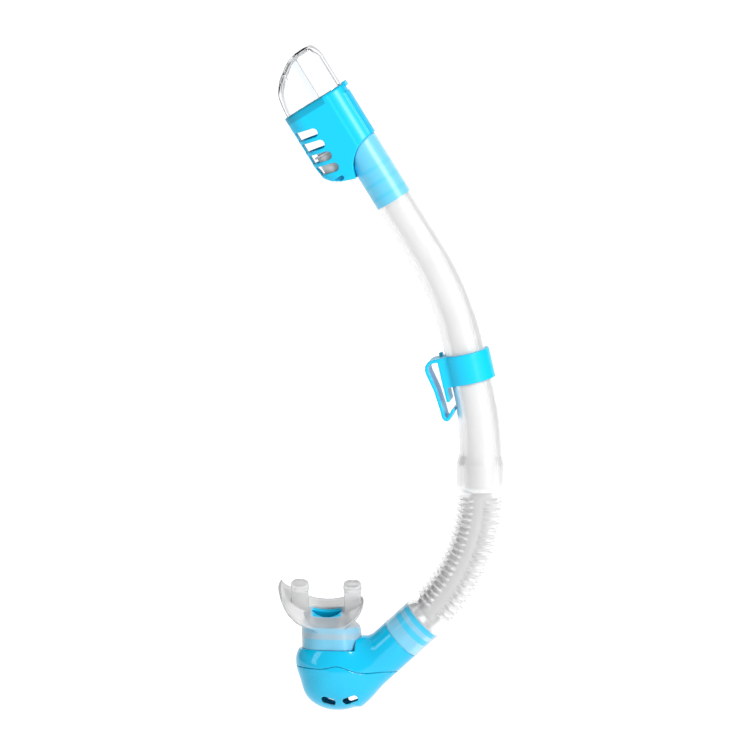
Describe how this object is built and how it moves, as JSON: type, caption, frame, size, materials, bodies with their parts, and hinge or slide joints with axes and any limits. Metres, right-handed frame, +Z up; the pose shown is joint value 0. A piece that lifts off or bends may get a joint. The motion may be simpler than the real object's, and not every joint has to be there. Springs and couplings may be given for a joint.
{
  "type": "dry-top snorkel",
  "caption": "Dry-top snorkel: float-valve head, frosted curved tube, mask-strap keeper, corrugated hose, purge chamber and silicone mouthpiece.",
  "frame": {"origin": "middle of the mask-strap slot in the keeper's hook", "axes": "+Z up, the tube's curve in the XZ plane, +X from the hook towards the tube, mouthpiece opening towards -Y and up"},
  "size_m": [0.1535, 0.044, 0.4473],
  "materials": {
    "frosted_tube": "frosted translucent",
    "clear_dome": "clear, polished",
    "clear_plastic": "clear",
    "cyan_plastic": "smooth gloss",
    "cyan_translucent": "glossy, slightly translucent",
    "float_plastic": "matte",
    "clear_silicone": "clear, smooth",
    "seal_silicone": "soft matte"
  },
  "bodies": {
    "tube": {"upper_tube": "frosted_tube", "float_cage": "cyan_plastic", "head_dome": "clear_dome", "dome_gasket": "seal_silicone", "valve_seat_plate": "clear_plastic", "hose_coupler": "clear_plastic", "corrugated_hose": "clear_silicone"},
    "float": {"float_shell": "float_plastic", "float_cap": "float_plastic", "float_seal": "seal_silicone"},
    "keeper": {"mask_keeper": "cyan_plastic"},
    "chamber": {"chamber_body": "cyan_translucent", "purge_valve_seat": "clear_plastic", "purge_seat_gasket": "seal_silicone", "purge_cover": "cyan_translucent", "mouthpiece_insert": "cyan_plastic", "mouthpiece": "clear_silicone"},
    "purge": {"purge_valve": "seal_silicone"}
  },
  "joints": [
    {"name": "float_slide", "type": "slide", "parent": "tube", "child": "float", "axis": [-0.5299, 0, 0.848], "range_m": [0, 0.0205]},
    {"name": "keeper_swivel", "type": "hinge", "parent": "tube", "child": "keeper", "pos_m": [0.02018, 0, 0.00774], "axis": [-0.225, 0, 0.9744], "continuous": true},
    {"name": "hose_flex", "type": "hinge", "parent": "tube", "child": "chamber", "pos_m": [0.01869, 0, -0.12344], "axis": [0, 1, 0], "range_deg": [-45, 20], "stiffness_Nm_per_rad": 0.35, "springref_deg": 5.73, "deforming": ["corrugated_hose"]},
    {"name": "purge_open", "type": "slide", "parent": "chamber", "child": "purge", "axis": [0, -0.0872, -0.9962], "range_m": [0, 0.0015], "stiffness_N_per_m": 60, "springref_m": -0.0005}
  ]
}
